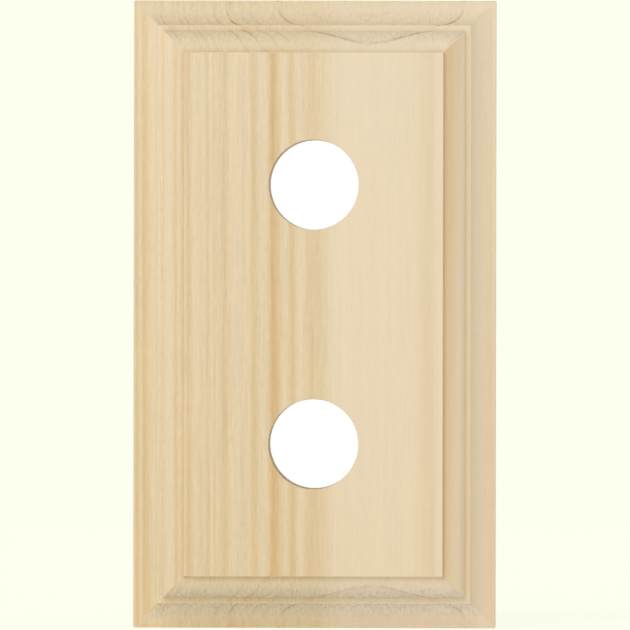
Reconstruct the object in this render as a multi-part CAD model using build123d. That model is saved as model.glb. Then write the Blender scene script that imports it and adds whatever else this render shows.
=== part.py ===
from build123d import *
import os

# Socket block of solid pine, all sizes in millimetres.
# It stands upright as it is fixed: X is its width, +Z is up and the moulded face looks along -Y.
# The origin is the centre of the flat back, which lies on the plane Y = 0 against the wall.

# Blank, cut from a board and planed
block_width = 89.0
block_height = 154.0
corner_arris = 0.4  # four corners of the outline, sanded
back_arris = 0.4  # edges of the back, sanded

# Moulding round the face, from the outside inwards
edge_thickness = 6.8  # square edge of the board that the moulding leaves
rim_arris = 0.4  # outer edge, sanded
rim_land = 0.3  # flat strip between that arris and the hollow
cove_radius = 5.4  # hollow quarter round
fillet_width = 1.4  # flat strip between the two rounds
ovolo_radius = 5.3  # full quarter round
quirk_depth = 1.5  # upright step from the round to the raised panel
panel_arris = 0.25  # edge of the raised panel, sanded

# Sockets bored through the panel, one above the other
bore_diameter = 22.0
bore_spacing = 63.5  # centre to centre
bore_count = 2

fillet_level = edge_thickness + cove_radius
ovolo_level = fillet_level + ovolo_radius
block_thickness = ovolo_level + quirk_depth


# The corners of a section, left and right, at a distance from its middle and a level above the back.
def corners_at(section, distance, level):
    spots = [Vector(-distance, level), Vector(distance, level)]
    return [section.vertices().sort_by_distance(spot)[0] for spot in spots]


# Cross section over a span: local X runs along the span, local Y from the back to the face.
# One half is drawn from the back round the moulding to the middle of the panel, then mirrored.
def moulded_section(span):
    outer_edge = span / 2
    cove_start = outer_edge - rim_arris - rim_land
    cove_end = cove_start - cove_radius
    ovolo_start = cove_end - fillet_width
    panel_edge = ovolo_start - ovolo_radius
    with BuildSketch() as section:
        with BuildLine():
            Polyline((0, 0), (outer_edge, 0), (outer_edge, edge_thickness), (cove_start, edge_thickness))
            CenterArc((cove_start, fillet_level), cove_radius, start_angle=270, arc_size=-90)
            Line((cove_end, fillet_level), (ovolo_start, fillet_level))
            CenterArc((panel_edge, fillet_level), ovolo_radius, start_angle=0, arc_size=90)
            Polyline((panel_edge, ovolo_level), (panel_edge, block_thickness), (0, block_thickness), (0, 0))
        make_face()
        mirror(about=Plane.YZ)
        fillet(corners_at(section, outer_edge, 0), back_arris)
        fillet(corners_at(section, outer_edge, edge_thickness), rim_arris)
        fillet(corners_at(section, panel_edge, block_thickness), panel_arris)
    return section.sketch


# The section runs up the block and across it, each run longer than the block, and where the two
# runs meet the moulding is mitred.
level_plane = Plane(origin=(0, 0, 0), x_dir=(1, 0, 0), z_dir=(0, 0, -1))
upright_plane = Plane(origin=(0, 0, 0), x_dir=(0, 0, 1), z_dir=(1, 0, 0))
side_mouldings = extrude(level_plane * moulded_section(block_width), amount=block_height, both=True)
end_mouldings = extrude(upright_plane * moulded_section(block_height), amount=block_width, both=True)
block = side_mouldings & end_mouldings

# What the sanding takes off the four corners of the outline, from the face to the back.
corner_square = Rectangle(2 * corner_arris, 2 * corner_arris, align=(Align.MIN, Align.MIN))
corner_place = Pos(block_width / 2 - corner_arris, block_height / 2 - corner_arris)
corner_waste = Plane.XZ * corner_place * (corner_square - Circle(corner_arris))
corner_waste = extrude(corner_waste, amount=2 * block_thickness, both=True)
for waste in (corner_waste, mirror(corner_waste, about=Plane.XY)):
    block -= waste
    block -= mirror(waste, about=Plane.YZ)

# The sockets go straight through, from the face of the panel to the back.
lowest_bore = -bore_spacing * (bore_count - 1) / 2
for row in range(bore_count):
    bore_centre = Pos(0, lowest_bore + row * bore_spacing)
    block -= extrude(Plane.XZ * bore_centre * Circle(bore_diameter / 2), amount=block_thickness, both=True)

os.makedirs("parts", exist_ok=True)
export_step(block, "parts/socket_block.step")
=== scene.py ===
import math

import bpy
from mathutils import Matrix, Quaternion, Vector


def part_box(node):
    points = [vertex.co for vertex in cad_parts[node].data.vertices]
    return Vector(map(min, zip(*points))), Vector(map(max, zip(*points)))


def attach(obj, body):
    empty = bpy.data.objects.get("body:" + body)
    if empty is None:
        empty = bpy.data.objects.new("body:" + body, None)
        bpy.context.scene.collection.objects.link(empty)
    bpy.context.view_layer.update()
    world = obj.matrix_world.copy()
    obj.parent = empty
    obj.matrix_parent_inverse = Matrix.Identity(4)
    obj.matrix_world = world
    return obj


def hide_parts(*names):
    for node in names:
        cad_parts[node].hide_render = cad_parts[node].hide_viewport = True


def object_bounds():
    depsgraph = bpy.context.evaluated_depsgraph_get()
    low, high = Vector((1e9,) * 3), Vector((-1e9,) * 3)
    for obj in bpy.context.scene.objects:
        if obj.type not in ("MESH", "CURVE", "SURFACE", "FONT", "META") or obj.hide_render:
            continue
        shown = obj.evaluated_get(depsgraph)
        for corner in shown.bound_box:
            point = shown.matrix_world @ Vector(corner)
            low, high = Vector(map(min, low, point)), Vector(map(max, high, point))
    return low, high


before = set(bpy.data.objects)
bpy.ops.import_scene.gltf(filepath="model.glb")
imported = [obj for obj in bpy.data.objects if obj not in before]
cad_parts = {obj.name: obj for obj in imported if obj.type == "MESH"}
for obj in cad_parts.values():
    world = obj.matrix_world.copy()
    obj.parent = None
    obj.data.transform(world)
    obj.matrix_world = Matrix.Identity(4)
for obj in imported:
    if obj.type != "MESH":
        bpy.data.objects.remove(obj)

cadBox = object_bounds()
mm = 0.001
print("frame loaded")


# Selecting in code, for the operators

def selectOnly(piece):
    if bpy.context.mode != "OBJECT":
        bpy.ops.object.mode_set(mode="OBJECT")
    bpy.ops.object.select_all(action="DESELECT")
    piece.select_set(True)
    bpy.context.view_layer.objects.active = piece


def editWhere(piece, kind, wanted):
    # leaves the piece in edit mode, with only the faces or edges that wanted() accepts selected
    selectOnly(piece)
    bpy.ops.object.mode_set(mode="EDIT")
    bpy.ops.mesh.select_mode(type=kind)
    bpy.ops.mesh.select_all(action="DESELECT")
    bpy.ops.object.mode_set(mode="OBJECT")
    mesh = piece.data
    for part in mesh.polygons if kind == "FACE" else mesh.edges:
        part.select = wanted([mesh.vertices[i].co for i in part.vertices])
    bpy.ops.object.mode_set(mode="EDIT")


# The block: a planed blank with the moulding run round its face, then bored

blockValues = {
    "rimArris": 0.4 * mm,  # all outer edges of the blank, sanded
    "rimLand": 0.3 * mm,  # flat strip between that arris and the cove
    "coveRadius": 5.4 * mm,
    "filletArris": 0.3 * mm,  # where the cove meets the fillet
    "filletWidth": 1.4 * mm,
    "ovoloRadius": 5.3 * mm,
    "quirkDepth": 1.5 * mm,  # upright step from the ovolo to the raised panel
    "panelArris": 0.25 * mm,
    "boreRadius": 11.0 * mm,
    "boreSpacing": 63.5 * mm,
    "boreArris": 0.15 * mm,  # rims of the bores, on the face and on the back
    "roundSteps": 20,  # facets to a quarter round
    "arrisSteps": 4,
    "boreSides": 128,
    "smoothAngle": math.radians(32),  # edges that turn more than this stay sharp
    "nearEnough": 0.01 * mm,  # for finding faces and edges by their place
}


def roundOver(radius, steps):
    # a quarter round that starts upright and ends level, as pairs of inset and rise
    turns = [math.pi / 2 * i / steps for i in range(steps + 1)]
    return [(radius * (math.cos(a) - math.cos(b)), radius * (math.sin(b) - math.sin(a)))
            for a, b in zip(turns, turns[1:])]


def hollowOut(radius, steps):
    # a hollow quarter round that starts level and ends upright
    return [(rise, inset) for inset, rise in roundOver(radius, steps)]


def stepIn(moves):
    # each move insets the chosen face and lifts what is left of it
    for inset, rise in moves:
        bpy.ops.mesh.inset(thickness=inset, depth=rise)


def makeBlank(values, low, high):
    # the blank is as thick as the square edge that the moulding leaves
    relief = values["coveRadius"] + values["ovoloRadius"] + values["quirkDepth"]
    front = low.y + relief
    bpy.ops.object.select_all(action="DESELECT")
    bpy.ops.mesh.primitive_cube_add(
        size=1,
        location=(0, (front + high.y) / 2, 0),
        scale=(high.x - low.x, high.y - front, high.z - low.z),
    )
    piece = bpy.context.object
    piece.name = "pineSocketBlock"
    bpy.ops.object.transform_apply(location=True, rotation=True, scale=True)
    bpy.ops.object.mode_set(mode="EDIT")
    bpy.ops.mesh.select_all(action="SELECT")
    bpy.ops.mesh.bevel(offset=values["rimArris"], segments=values["arrisSteps"], affect="EDGES")
    bpy.ops.object.mode_set(mode="OBJECT")
    return piece


def runMoulding(piece, values):
    front = min(v.co.y for v in piece.data.vertices)
    editWhere(piece, "FACE", lambda corners: all(c.y < front + values["nearEnough"] for c in corners))
    stepIn([(values["rimLand"], 0)])
    # the last step of the cove stops short of the fillet by its arris
    cove = hollowOut(values["coveRadius"], values["roundSteps"])
    lastInset, lastRise = cove.pop()
    stepIn(cove)
    stepIn([(lastInset, lastRise - values["filletArris"])])
    stepIn(roundOver(values["filletArris"], values["arrisSteps"]))
    stepIn([(values["filletWidth"] - values["filletArris"], 0)])
    stepIn(roundOver(values["ovoloRadius"], values["roundSteps"]))
    # the quirk goes straight up; an extrude would do, but puts its sides in another order each run
    stepIn([(0, values["quirkDepth"] - values["panelArris"])])
    stepIn(roundOver(values["panelArris"], values["arrisSteps"]))
    bpy.ops.object.mode_set(mode="OBJECT")


def boreSockets(piece, values, low, high):
    for height in (-values["boreSpacing"] / 2, values["boreSpacing"] / 2):
        bpy.ops.object.select_all(action="DESELECT")
        bpy.ops.mesh.primitive_cylinder_add(
            vertices=values["boreSides"], radius=values["boreRadius"], depth=2 * (high.y - low.y),
            location=(0, (low.y + high.y) / 2, height), rotation=(math.pi / 2, 0, 0),
        )
        drill = bpy.context.object
        selectOnly(piece)
        cut = piece.modifiers.new("bore", "BOOLEAN")
        cut.operation = "DIFFERENCE"
        cut.solver = "EXACT"
        cut.object = drill
        bpy.ops.object.modifier_apply(modifier=cut.name)
        bpy.data.objects.remove(drill)

    def onBore(point):
        reach = math.hypot(point.x, abs(point.z) - values["boreSpacing"] / 2)
        return abs(reach - values["boreRadius"]) < values["nearEnough"]

    def onRim(ends):
        return all(onBore(end) for end in ends) and abs(ends[0].y - ends[1].y) < values["nearEnough"]

    editWhere(piece, "EDGE", onRim)
    bpy.ops.mesh.bevel(offset=values["boreArris"], segments=values["arrisSteps"], affect="EDGES")
    bpy.ops.object.mode_set(mode="OBJECT")


def smoothRounds(piece, values, high):
    # the mitres stay sharp from end to end, and flat faces keep their own normals
    def onMitre(point):
        offLine = abs((high.x - abs(point.x)) - (high.z - abs(point.z)))
        return offLine < values["nearEnough"] and high.x - abs(point.x) > values["rimArris"] / 2

    def isMitre(ends):
        first, second = ends
        return all(onMitre(end) for end in ends) and first.x * second.x > 0 and first.z * second.z > 0

    editWhere(piece, "EDGE", isMitre)
    bpy.ops.mesh.mark_sharp()
    bpy.ops.object.mode_set(mode="OBJECT")
    bpy.ops.object.shade_smooth_by_angle(angle=values["smoothAngle"], keep_sharp_edges=True)
    weights = piece.modifiers.new("flatFaces", "WEIGHTED_NORMAL")
    weights.keep_sharp = True
    bpy.ops.object.modifier_apply(modifier=weights.name)


low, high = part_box("socket_block")
socketBlock = makeBlank(blockValues, low, high)
runMoulding(socketBlock, blockValues)
boreSockets(socketBlock, blockValues, low, high)
smoothRounds(socketBlock, blockValues, high)
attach(socketBlock, "root")
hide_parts("socket_block")
print("block modelled")


# Building node trees in code

nodeSpacing = 180  # from one node to the next, in the editor


def fromSrgb(red, green, blue):
    # a colour as a picture editor shows it, 0 to 255, as the linear colour that a socket takes,
    # by the numbers of the sRGB standard
    linear = []
    for value in (red, green, blue):
        share = value / 255
        linear.append(share / 12.92 if share <= 0.04045 else ((share + 0.055) / 1.055) ** 2.4)
    return (*linear, 1)


def put(tree, kind, inputs, **settings):
    # adds one node; each input is a plain value or the output of an earlier node
    node = tree.nodes.new(kind)
    node.location = (nodeSpacing * len(tree.nodes), 0)
    for name, value in settings.items():
        setattr(node, name, value)
    for socket, value in inputs.items():
        if isinstance(value, bpy.types.NodeSocket):
            tree.links.new(value, node.inputs[socket])
        else:
            node.inputs[socket].default_value = value
    return node


def putGroup(tree, group, inputs):
    return put(tree, "ShaderNodeGroup", inputs, node_tree=group).outputs


def calculate(tree, operation, first, second=0.0, third=0.0):
    return put(tree, "ShaderNodeMath", {0: first, 1: second, 2: third}, operation=operation).outputs[0]


def product(tree, *factors):
    total = factors[0]
    for factor in factors[1:]:
        total = calculate(tree, "MULTIPLY", total, factor)
    return total


def mapRange(tree, value, fromMin, fromMax, toMin=0.0, toMax=1.0, kind="LINEAR"):
    sockets = {"Value": value, "From Min": fromMin, "From Max": fromMax, "To Min": toMin, "To Max": toMax}
    return put(tree, "ShaderNodeMapRange", sockets, interpolation_type=kind).outputs["Result"]


def between(tree, share, values):
    # from the first of two values, where the share is 0, to the second, where it is 1
    return mapRange(tree, share, 0.0, 1.0, *values)


def mixColour(tree, factor, first, second, blend="MIX"):
    sockets = {0: factor, 6: first, 7: second}
    return put(tree, "ShaderNodeMix", sockets, data_type="RGBA", blend_type=blend).outputs[2]


def tinted(tree, colour, tint):
    return mixColour(tree, 1.0, colour, tint, "MULTIPLY")


def lengthOf(tree, across, up):
    flat = put(tree, "ShaderNodeCombineXYZ", {"X": across, "Y": up}).outputs[0]
    return put(tree, "ShaderNodeVectorMath", {0: flat}, operation="LENGTH").outputs["Value"]


def stretchedNoise(tree, place, perMm, detail=2.0, roughness=0.5):
    # noise with its own number of waves to the millimetre along X, Y and Z
    stretched = put(tree, "ShaderNodeVectorMath", {0: place, 1: perMm}, operation="MULTIPLY").outputs[0]
    sockets = {"Vector": stretched, "Scale": 1.0, "Detail": detail, "Roughness": roughness}
    return put(tree, "ShaderNodeTexNoise", sockets).outputs["Fac"]


def centredNoise(tree, place, perMm, detail=2.0, roughness=0.5):
    return calculate(tree, "SUBTRACT", stretchedNoise(tree, place, perMm, detail, roughness), 0.5)


def startGroup(name, inputs, outputs):
    group = bpy.data.node_groups.new(name, "ShaderNodeTree")
    for direction, sockets in (("INPUT", inputs), ("OUTPUT", outputs)):
        for socket, kind in sockets.items():
            group.interface.new_socket(name=socket, in_out=direction, socket_type="NodeSocket" + kind)
    return group, group.nodes.new("NodeGroupInput").outputs, group.nodes.new("NodeGroupOutput").inputs


# Where a point lies on the block, as masks that the pine takes its changes from

def makePlaces(values):
    group, given, made = startGroup(
        "blockPlaces",
        {"Place": "Vector"},
        {
            "Foot": "Float",  # from 0 at the top to 1 at the foot
            "Fillet": "Float",
            "Cove": "Float",
            "End Moulding": "Float",  # the mouldings at the top and the foot
            "Raised Side": "Float",  # what stands in front of the fillet, between the mitres
            "Bore": "Float",
        },
    )
    split = put(group, "ShaderNodeSeparateXYZ", {0: given["Place"]}).outputs
    height = calculate(group, "ABSOLUTE", split["Z"])

    front = cadBox[0].y / mm
    top = cadBox[1].z / mm
    filletLevel = front + (values["quirkDepth"] + values["ovoloRadius"]) / mm
    edgeLevel = filletLevel + values["coveRadius"] / mm
    widths = ("rimArris", "rimLand", "coveRadius", "filletWidth", "ovoloRadius")
    panelTop = top - sum(values[width] for width in widths) / mm
    filletArris = values["filletArris"] / mm
    boreReach = (values["boreRadius"] + values["nearEnough"]) / mm

    # the mitres run where the height is the width plus this
    mitreRise = (cadBox[1].z - cadBox[1].x) / mm
    mitreHeight = calculate(group, "ADD", calculate(group, "ABSOLUTE", split["X"]), mitreRise)
    beyondMitre = calculate(group, "GREATER_THAN", height, mitreHeight)
    beyondPanel = calculate(group, "GREATER_THAN", height, panelTop)
    aboveEdge = calculate(group, "LESS_THAN", split["Y"], edgeLevel)
    insideMitre = calculate(group, "LESS_THAN", height, mitreHeight)
    aboveFillet = calculate(group, "LESS_THAN", split["Y"], filletLevel - filletArris)
    upTheBore = calculate(group, "SUBTRACT", height, values["boreSpacing"] / 2 / mm)
    fromBore = lengthOf(group, split["X"], upTheBore)

    masks = {
        "Foot": mapRange(group, split["Z"], top, cadBox[0].z / mm),
        "Fillet": calculate(group, "COMPARE", split["Y"], filletLevel, filletArris),
        "Cove": calculate(group, "GREATER_THAN", split["Y"], filletLevel),
        "End Moulding": product(group, beyondMitre, beyondPanel, aboveEdge),
        "Raised Side": product(group, insideMitre, aboveFillet),
        "Bore": calculate(group, "LESS_THAN", fromBore, boreReach),
    }
    for name, mask in masks.items():
        group.links.new(mask, made[name])
    return group


# Pine: the growth rings of one trunk in three dimensions, cut by every face of the block.
# Lengths are in mm, waves are to the millimetre along X, Y and Z, and colours are 0 to 255.

pineValues = {
    # the trunk
    "pith": (14.0, 13.6),  # its heart in X and Y, behind the back
    "lean": 0.0034,  # how far it leans to the right for each mm down the block
    # its rings by the belt they lie in: inner end, darkest and outer end from the pith, then how deep
    # the colour is and how strong the thin line at the outer end
    "ringBelts": [
        ((12.0, 33.0), [(13.6, 15.6, 16.6, 0.2, 0.5), (18.6, 20.6, 21.6, 0.15, 0.5),
                        (22.9, 24.6, 25.55, 0.18, 0.4), (28.6, 30.0, 30.9, 0.4, 1.0)]),
        ((33.0, 47.0), [(33.6, 35.8, 36.6, 0.33, 0.7), (37.1, 37.85, 38.6, 0.52, 0.65),
                        (38.7, 40.5, 41.35, 0.8, 1.0), (42.1, 43.5, 44.2, 0.4, 0.85),
                        (44.25, 45.2, 46.2, 0.14, 0.4)]),
        ((47.0, 64.0), [(47.3, 48.35, 49.9, 0.36, 0.2), (49.95, 50.2, 50.75, 0.3, 0.75),
                        (50.9, 51.55, 52.25, 0.33, 0.6), (52.3, 52.8, 53.5, 0.13, 0.3),
                        (54.1, 55.3, 56.2, 0.42, 0.65), (56.25, 56.8, 57.4, 0.4, 0.55),
                        (57.9, 59.8, 60.3, 0.52, 0.55), (60.5, 61.2, 61.8, 0.42, 0.4)]),
    ],
    "lineWidth": 0.35,  # of the thin line
    "lineLead": 0.3,  # how much of the line shows where the ring is darkest
    "depthLeft": 0.25,  # how much of the ring's colour is left at its line
    "wanderWaves": (0.02, 0.02, 0.022),
    "wander": 0.15,  # how far a ring strays along the grain
    "raggedWaves": (1.2, 1.2, 0.2),
    "ragged": 0.4,  # how far its outline is frayed

    # the wood between the rings
    # both sides turn darker towards the foot
    "tanTop": (232, 212, 177),
    "tanFoot": (222, 202, 163),
    "paleTop": (235, 217, 186),
    "paleFoot": (229, 210, 177),
    "paleFrom": (0.0, 8.0),  # it turns from tan to pale between these places along X

    # late wood, which makes the dark of a ring
    "late": (214, 180, 126),
    "ringDepth": (0.8, 1.4),  # how deep its colour is at the top and at the foot
    "ringDepthGain": 0.5,  # below 1 it deepens soon after the top
    "patchWaves": (0.09, 0.09, 0.02),  # it is uneven from patch to patch
    "patchFrom": (0.3, 0.7),
    "patchDepth": (-0.1, 0.1),
    "paleDepth": 0.65,  # how much of it is left on the pale side
    "flatUntil": 0.35,  # it fades where a face turns this far across the fibres
    "cutDepth": 0.12,  # and this much is left there
    "endLate": 0.55,  # how much of it shows on the mouldings at the top and the foot
    "resinRise": (31.5, 31.8),  # a resinous streak down the right ovolo, where it begins along X
    "resinFall": (32.0, 36.9),  # and where it ends
    "resinLean": -0.015,
    "resinDepth": 0.65,

    # fibres along Z
    "fineWaves": (2.4, 2.4, 0.07),
    "mottleWaves": (1.8, 1.8, 0.4),
    "mottleShare": 0.7,  # how much of the mottle goes with the fine streaks
    "streakDepth": (0.27, 0.12),  # of both, on the tan side and on the pale side
    "broadWaves": (0.55, 0.55, 0.012),
    "broadDepth": 0.06,

    # where the cutter met the fibres end on, with painted light from below at the foot
    "endFrom": 0.15,  # a face counts as end grain from this far across them
    "cutTop": (0.955, 0.94, 0.92),  # what end grain does to the colour, at the top and at the foot; the two at the foot also hold painted light from below, bluer, and lighter on the cove
    "cutFootAndPaintedLight": (0.9, 0.95, 1.065),
    "footCovePaintedLight": (0.998, 1.08, 1.262),
    "cutSpread": (1.3, 0.55),  # how far that reaches onto flatter parts, the smaller the further
    "endLine": (160, 127, 80),  # the thin line of a ring
    "lineDepth": (1.0, 0.7),  # at the top and at the foot
    "lineCrisp": 2.0,  # the larger, the thinner the line
    "lineSpread": 1.15,  # how far it reaches onto flatter parts, the smaller the further
    "breakWaves": (0.35, 0.35, 0.35),
    "breakFrom": (0.38, 0.6),
    "breakDepth": (0.5, 1.1),  # how much of the line shows where it is broken and where it is whole
    "torn": (150, 123, 86),  # torn fibres
    "tornWaves": (1.9, 0.6, 0.6),
    "tornLift": 0.2,  # how much more of them there is on full end grain
    "tornFrom": (0.6, 0.85),
    "tornDepth": (0.13, 0.45),
    "fuzzWaves": (2.2, 0.6, 0.6),  # fine lighter and darker fuzz
    "fuzzDepth": 0.45,

    "paintedBoreShade": (151, 117, 28),  # painted shade on the walls of the bores
    "paintedBoreShadeDepth": 0.42,
    "filletPaintedLight": (1.04, 1.05, 1.065),  # painted light: the flat fillet is made paler against the shade of the rounds beside it

    "roughness": 0.62,
    "lateGloss": 0.1,  # how much smoother late wood is
    "specular": 0.35,
    "fineRelief": 0.5,  # relief of the streaks and of the fuzz, beside late wood at 1
    "fuzzRelief": 3.0,
    "bumpStrength": 0.35,
    "bumpHeight": 0.04 * mm,
}


def addBelt(tree, distance, span, rings, values):
    # red holds each ring's depth of colour, and green the thin line at its outer end
    start, end = span
    ramp = put(tree, "ShaderNodeValToRGB", {"Fac": mapRange(tree, distance, start, end)})
    ramp.color_ramp.interpolation = "EASE"
    stops = []
    for inner, darkest, outer, depth, crisp in rings:
        line = outer - values["lineWidth"] / 2
        stops.append((inner, 0, 0))
        stops.append((darkest, depth, values["lineLead"] * crisp))
        stops.append((line, values["depthLeft"] * depth, crisp))
        stops.append((outer, 0, 0))
    elements = ramp.color_ramp.elements
    while len(elements) < len(stops):
        elements.new(1)
    for element, (radius, depth, line) in zip(elements, stops):
        element.position = (radius - start) / (end - start)
        element.color = (depth, line, 0, 1)
    return ramp.outputs["Color"]


def makeGrowthRings(values):
    group, given, made = startGroup(
        "growthRings",
        {"Place": "Vector", "Wander": "Float", "Ragged": "Float"},
        {"Late Wood": "Float", "Ring Edge": "Float"},
    )
    place = given["Place"]
    slow = centredNoise(group, place, values["wanderWaves"], detail=1.0)
    rough = centredNoise(group, place, values["raggedWaves"], detail=3.0)
    slow = calculate(group, "MULTIPLY", slow, given["Wander"])
    rough = calculate(group, "MULTIPLY", rough, given["Ragged"])
    stray = calculate(group, "ADD", slow, rough)

    split = put(group, "ShaderNodeSeparateXYZ", {0: place}).outputs
    pithX, pithY = values["pith"]
    leaning = calculate(group, "MULTIPLY", split["Z"], values["lean"])
    across = calculate(group, "SUBTRACT", calculate(group, "ADD", split["X"], leaning), pithX)
    deep = calculate(group, "SUBTRACT", split["Y"], pithY)
    distance = calculate(group, "ADD", lengthOf(group, across, deep), stray)

    rings = (0, 0, 0, 1)
    for span, belt in values["ringBelts"]:
        rings = mixColour(group, 1.0, addBelt(group, distance, span, belt, values), rings, "ADD")
    split = put(group, "ShaderNodeSeparateColor", {0: rings}).outputs
    group.links.new(split["Red"], made["Late Wood"])
    group.links.new(split["Green"], made["Ring Edge"])
    return group


def makeFibres(values):
    group, given, made = startGroup(
        "fibres",
        {"Place": "Vector", "Fine Depth": "Float", "Broad Depth": "Float"},
        {"Shade": "Float", "Fine": "Float"},
    )
    fine = stretchedNoise(group, given["Place"], values["fineWaves"], detail=4.0, roughness=0.65)
    mottle = stretchedNoise(group, given["Place"], values["mottleWaves"], detail=3.0, roughness=0.6)
    both = calculate(group, "MULTIPLY_ADD", mottle, values["mottleShare"], fine)
    bothMiddle = (1 + values["mottleShare"]) / 2
    fineShade = product(group, calculate(group, "SUBTRACT", both, bothMiddle), given["Fine Depth"])
    broad = centredNoise(group, given["Place"], values["broadWaves"])
    broadShade = calculate(group, "MULTIPLY", broad, given["Broad Depth"])
    shade = calculate(group, "ADD", calculate(group, "ADD", fineShade, broadShade), 1.0)
    group.links.new(shade, made["Shade"])
    group.links.new(fine, made["Fine"])
    return group


def makeLateWood(values):
    group, given, made = startGroup(
        "lateWood",
        {
            "Place": "Vector",
            "Rings": "Float",
            "Across Grain": "Float",
            "Pale Side": "Float",
            "Foot": "Float",
            "End Moulding": "Float",
            "Raised Side": "Float",
        },
        {"Depth": "Float"},
    )
    place = given["Place"]
    split = put(group, "ShaderNodeSeparateXYZ", {0: place}).outputs
    soonDeeper = calculate(group, "POWER", given["Foot"], values["ringDepthGain"])
    patches = stretchedNoise(group, place, values["patchWaves"], detail=1.0)
    patches = mapRange(group, patches, *values["patchFrom"], *values["patchDepth"])
    depth = calculate(group, "ADD", between(group, soonDeeper, values["ringDepth"]), patches)
    paleShare = between(group, given["Pale Side"], (1.0, values["paleDepth"]))
    flatShare = mapRange(group, given["Across Grain"], 0.0, values["flatUntil"], 1.0, values["cutDepth"])
    endShare = between(group, given["End Moulding"], (1.0, values["endLate"]))
    late = product(group, depth, paleShare, given["Rings"], flatShare, endShare)

    begun = mapRange(group, split["X"], *values["resinRise"])
    leaning = calculate(group, "MULTIPLY_ADD", split["Z"], values["resinLean"], split["X"])
    lasting = mapRange(group, leaning, *values["resinFall"], 1.0, 0.0, "SMOOTHSTEP")
    resin = product(group, begun, lasting, values["resinDepth"], given["Raised Side"], flatShare)
    group.links.new(calculate(group, "MAXIMUM", late, resin), made["Depth"])
    return group


def makeCutWoodAndFootLight(values):
    group, given, made = startGroup(
        "cutWoodAndFootLight",
        {
            "Colour": "Color",
            "Place": "Vector",
            "End Grain": "Float",
            "Ring Edge": "Float",
            "Foot": "Float",
            "Cove": "Float",
        },
        {"Colour": "Color"},
    )
    place, endGrain, foot = given["Place"], given["End Grain"], given["Foot"]
    # at the foot the tint is partly painted light from below: bluer, and lighter on the cove
    atFoot = mixColour(group, given["Cove"], (*values["cutFootAndPaintedLight"], 1), (*values["footCovePaintedLight"], 1))
    tint = mixColour(group, foot, (*values["cutTop"], 1), atFoot)
    share = calculate(group, "POWER", endGrain, between(group, foot, values["cutSpread"]))
    colour = mixColour(group, share, given["Colour"], tinted(group, given["Colour"], tint))

    line = calculate(group, "POWER", given["Ring Edge"], values["lineCrisp"])
    spread = calculate(group, "POWER", endGrain, values["lineSpread"])
    breaks = stretchedNoise(group, place, values["breakWaves"])
    breaks = mapRange(group, breaks, *values["breakFrom"], *values["breakDepth"])
    line = product(group, line, spread, breaks, between(group, foot, values["lineDepth"]))
    colour = mixColour(group, line, colour, fromSrgb(*values["endLine"]))

    torn = stretchedNoise(group, place, values["tornWaves"], detail=4.0, roughness=0.65)
    torn = calculate(group, "MULTIPLY_ADD", endGrain, values["tornLift"], torn)
    torn = mapRange(group, torn, *values["tornFrom"])
    torn = product(group, torn, between(group, foot, values["tornDepth"]), endGrain)
    colour = mixColour(group, torn, colour, fromSrgb(*values["torn"]))
    group.links.new(colour, made["Colour"])
    return group


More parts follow.
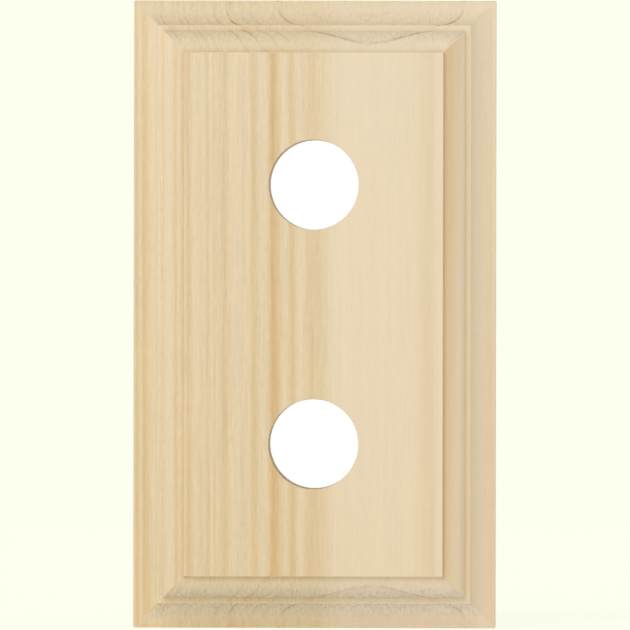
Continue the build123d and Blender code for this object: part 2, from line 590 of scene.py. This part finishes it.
def makePine(values):
    material = bpy.data.materials.new("barePine")
    material.use_nodes = True
    tree = material.node_tree
    shader = tree.nodes["Principled BSDF"]
    coordinates = put(tree, "ShaderNodeTexCoord", {}).outputs
    place = put(tree, "ShaderNodeVectorMath", {0: coordinates["Object"], "Scale": 1 / mm}, operation="SCALE")
    place = place.outputs[0]
    split = put(tree, "ShaderNodeSeparateXYZ", {0: place}).outputs
    where = putGroup(tree, makePlaces(blockValues), {"Place": place})
    paleSide = mapRange(tree, split["X"], *values["paleFrom"], kind="SMOOTHSTEP")

    # how squarely a face cuts across the fibres, which run along Z
    normal = put(tree, "ShaderNodeSeparateXYZ", {0: coordinates["Normal"]}).outputs
    acrossGrain = calculate(tree, "ABSOLUTE", normal["Z"])
    endGrain = mapRange(tree, acrossGrain, values["endFrom"], 1.0)

    rings = putGroup(tree, makeGrowthRings(values), {
        "Place": place,
        "Wander": values["wander"],
        "Ragged": values["ragged"],
    })
    late = putGroup(tree, makeLateWood(values), {
        "Place": place,
        "Rings": rings["Late Wood"],
        "Across Grain": acrossGrain,
        "Pale Side": paleSide,
        "Foot": where["Foot"],
        "End Moulding": where["End Moulding"],
        "Raised Side": where["Raised Side"],
    })["Depth"]
    top = mixColour(tree, paleSide, fromSrgb(*values["tanTop"]), fromSrgb(*values["paleTop"]))
    base = mixColour(tree, paleSide, fromSrgb(*values["tanFoot"]), fromSrgb(*values["paleFoot"]))
    early = mixColour(tree, where["Foot"], top, base)
    colour = mixColour(tree, late, early, fromSrgb(*values["late"]))
    colour = putGroup(tree, makeCutWoodAndFootLight(values), {
        "Colour": colour,
        "Place": place,
        "End Grain": endGrain,
        "Ring Edge": rings["Ring Edge"],
        "Foot": where["Foot"],
        "Cove": where["Cove"],
    })["Colour"]
    # painted shade: the walls of the bores are darkened towards a dark brown
    paintedBoreShade = calculate(tree, "MULTIPLY", where["Bore"], values["paintedBoreShadeDepth"])
    colour = mixColour(tree, paintedBoreShade, colour, fromSrgb(*values["paintedBoreShade"]))

    # fine streaks on all of it, and a fuzz on end grain
    fibres = putGroup(tree, makeFibres(values), {
        "Place": place,
        "Fine Depth": between(tree, paleSide, values["streakDepth"]),
        "Broad Depth": values["broadDepth"],
    })
    fuzz = centredNoise(tree, place, values["fuzzWaves"], detail=4.0, roughness=0.7)
    fuzz = calculate(tree, "MULTIPLY", fuzz, calculate(tree, "SQRT", endGrain))
    fuzzShade = calculate(tree, "MULTIPLY_ADD", fuzz, values["fuzzDepth"], 1.0)
    shade = calculate(tree, "MULTIPLY", fibres["Shade"], fuzzShade)
    shade = put(tree, "ShaderNodeCombineColor", {0: shade, 1: shade, 2: shade}).outputs[0]
    colour = tinted(tree, colour, shade)
    # painted light on the flat fillet, paler than the rounds beside it
    colour = mixColour(tree, where["Fillet"], colour, tinted(tree, colour, (*values["filletPaintedLight"], 1)))
    tree.links.new(colour, shader.inputs["Base Color"])

    relief = calculate(tree, "MULTIPLY_ADD", fibres["Fine"], values["fineRelief"], rings["Late Wood"])
    relief = calculate(tree, "MULTIPLY_ADD", fuzz, values["fuzzRelief"], relief)
    sockets = {"Height": relief, "Strength": values["bumpStrength"], "Distance": values["bumpHeight"]}
    bump = put(tree, "ShaderNodeBump", sockets)
    tree.links.new(bump.outputs[0], shader.inputs["Normal"])
    smoothest = values["roughness"] - values["lateGloss"]
    roughness = between(tree, rings["Late Wood"], (values["roughness"], smoothest))
    tree.links.new(roughness, shader.inputs["Roughness"])
    shader.inputs["Specular IOR Level"].default_value = values["specular"]
    return material


socketBlock.data.materials.clear()
socketBlock.data.materials.append(makePine(pineValues))
print("pine made")


# The camera, far off and nearly square on

cameraValues = {
    "distance": 3300 * mm,
    "yaw": math.radians(1.3),  # it stands a little to the right
    "height": 12.0 * mm,  # above the middle of the block
    "roll": math.radians(0.097),
    "target": (0.1 * mm, -7.3 * mm, -0.17 * mm),
    "frameWidth": 154.65 * mm,  # what the picture takes in at the target
    "sensor": 36.0,
    "sees": (0.1, 50),  # from how near to how far, in metres
}


def lineOfSight(values):
    target = Vector(values["target"])
    away = Vector((math.sin(values["yaw"]), -math.cos(values["yaw"]), 0)) * values["distance"]
    spot = target + away
    spot.z = values["height"]
    return spot, target - spot


def setCamera(values):
    spot, sight = lineOfSight(values)
    bpy.ops.object.camera_add(location=spot)
    camera = bpy.context.object
    camera.name = "mainCamera"
    aim = sight.to_track_quat("-Z", "Y")
    camera.rotation_euler = (aim @ Quaternion((0, 0, 1), values["roll"])).to_euler()
    camera.data.sensor_width = values["sensor"]
    camera.data.lens = values["sensor"] * values["distance"] / values["frameWidth"]
    camera.data.clip_start, camera.data.clip_end = values["sees"]
    bpy.context.scene.camera = camera


setCamera(cameraValues)
bpy.context.scene.view_settings.view_transform = "Standard"
print("camera set")


# The studio: a pale floor, an even soft sky and two soft lights

studioValues = {
    "paper": (252, 255, 238),  # the backdrop, 0 to 255
    "floorWhite": 0.95,  # how much light the floor gives back
    "floorGlow": 0.19,  # light from under the floor, as in a photo table
    "floorPaper": (0.984, 1.02, 0.835),  # what it shows besides its own light, so that it meets the backdrop
    "shadowShare": 0.2,  # how much of its light and shadow the camera sees
    "floorReach": (1.5, 1.2),  # half its width, and how far it runs behind the block, in metres
    "skyEven": 0.25,  # light from all round
    "skySides": (0.75, 0.62, 0.4),  # more light from the left, the right and behind, as from broad soft boxes
    "glowReach": (0.011, 0.02),  # half the width and height of the whiter patch behind the block
    "glowEdge": (1.0, 0.85),  # that patch fades out between these shares of its reach
    "suns": {  # where each light comes from, and how strong it is
        "keyLight": ((-0.3, -0.7, 0.6), 0.78),
        "frontLight": ((-0.05, -0.94, 0.33), 0.28),
    },
    "sunAngle": math.radians(24),
}


def seenDirectly(tree):
    # 1 for rays from the camera and for what shows in gloss or glass
    path = put(tree, "ShaderNodeLightPath", {}).outputs
    seen = calculate(tree, "MAXIMUM", path["Is Camera Ray"], path["Is Glossy Ray"])
    return calculate(tree, "MAXIMUM", seen, path["Is Transmission Ray"])


def makePaper(values):
    material = bpy.data.materials.new("palePaper")
    material.use_nodes = True
    tree = material.node_tree
    tree.nodes.remove(tree.nodes["Principled BSDF"])
    white = values["floorWhite"]
    plain = put(tree, "ShaderNodeBsdfDiffuse", {"Color": (white, white, white, 1)}).outputs[0]
    glow = put(tree, "ShaderNodeEmission", {"Strength": values["floorGlow"]}).outputs[0]
    lit = put(tree, "ShaderNodeAddShader", {0: plain, 1: glow}).outputs[0]
    bright = put(tree, "ShaderNodeEmission", {"Color": (*values["floorPaper"], 1)}).outputs[0]
    share = calculate(tree, "MULTIPLY", seenDirectly(tree), 1 - values["shadowShare"])
    paper = put(tree, "ShaderNodeMixShader", {0: share, 1: lit, 2: bright}).outputs[0]
    tree.links.new(paper, tree.nodes["Material Output"].inputs["Surface"])
    return material


def layFloor(values, low):
    halfWidth, behind = values["floorReach"]
    bpy.ops.object.select_all(action="DESELECT")
    bpy.ops.mesh.primitive_plane_add(size=1, location=(0, (behind - halfWidth) / 2, low.z))
    floor = bpy.context.object
    floor.name = "paleFloor"
    floor.scale = (2 * halfWidth, behind + halfWidth, 1)
    floor.data.materials.append(makePaper(values))


def lightSky(values):
    world = bpy.data.worlds.new("softSky")
    world.use_nodes = True
    bpy.context.scene.world = world
    tree = world.node_tree
    towards = put(tree, "ShaderNodeTexCoord", {}).outputs["Generated"]
    split = put(tree, "ShaderNodeSeparateXYZ", {0: towards}).outputs
    leftward = calculate(tree, "MULTIPLY", split["X"], -1.0)
    strength = values["skyEven"]
    for outward, more in zip((leftward, split["X"], split["Y"]), values["skySides"]):
        facing = calculate(tree, "MAXIMUM", outward, 0.0)
        strength = calculate(tree, "MULTIPLY_ADD", facing, more, strength)
    soft = put(tree, "ShaderNodeBackground", {"Color": (1, 1, 1, 1), "Strength": strength}).outputs[0]

    # the backdrop is a little whiter right behind the block, where the sockets show it
    _, sight = lineOfSight(cameraValues)
    sideways, _, upwards = sight.normalized()
    wide, tall = values["glowReach"]
    across = calculate(tree, "DIVIDE", calculate(tree, "SUBTRACT", split["X"], sideways), wide)
    up = calculate(tree, "DIVIDE", calculate(tree, "SUBTRACT", split["Z"], upwards), tall)
    patch = mapRange(tree, lengthOf(tree, across, up), *values["glowEdge"])
    white = calculate(tree, "MULTIPLY", patch, calculate(tree, "GREATER_THAN", split["Y"], 0.0))
    colour = mixColour(tree, white, fromSrgb(*values["paper"]), (1, 1, 1, 1))
    backdrop = put(tree, "ShaderNodeBackground", {"Color": colour}).outputs[0]
    sky = put(tree, "ShaderNodeMixShader", {0: seenDirectly(tree), 1: soft, 2: backdrop}).outputs[0]
    tree.links.new(sky, tree.nodes["World Output"].inputs["Surface"])


def hangSun(name, comesFrom, strength, angle):
    bpy.ops.object.light_add(type="SUN")
    sun = bpy.context.object
    sun.name = name
    sun.data.energy = strength
    sun.data.angle = angle
    sun.rotation_euler = Vector(comesFrom).to_track_quat("Z", "Y").to_euler()


layFloor(studioValues, low)
lightSky(studioValues)
for name, (comesFrom, strength) in studioValues["suns"].items():
    hangSun(name, comesFrom, strength, studioValues["sunAngle"])
print("studio lit")
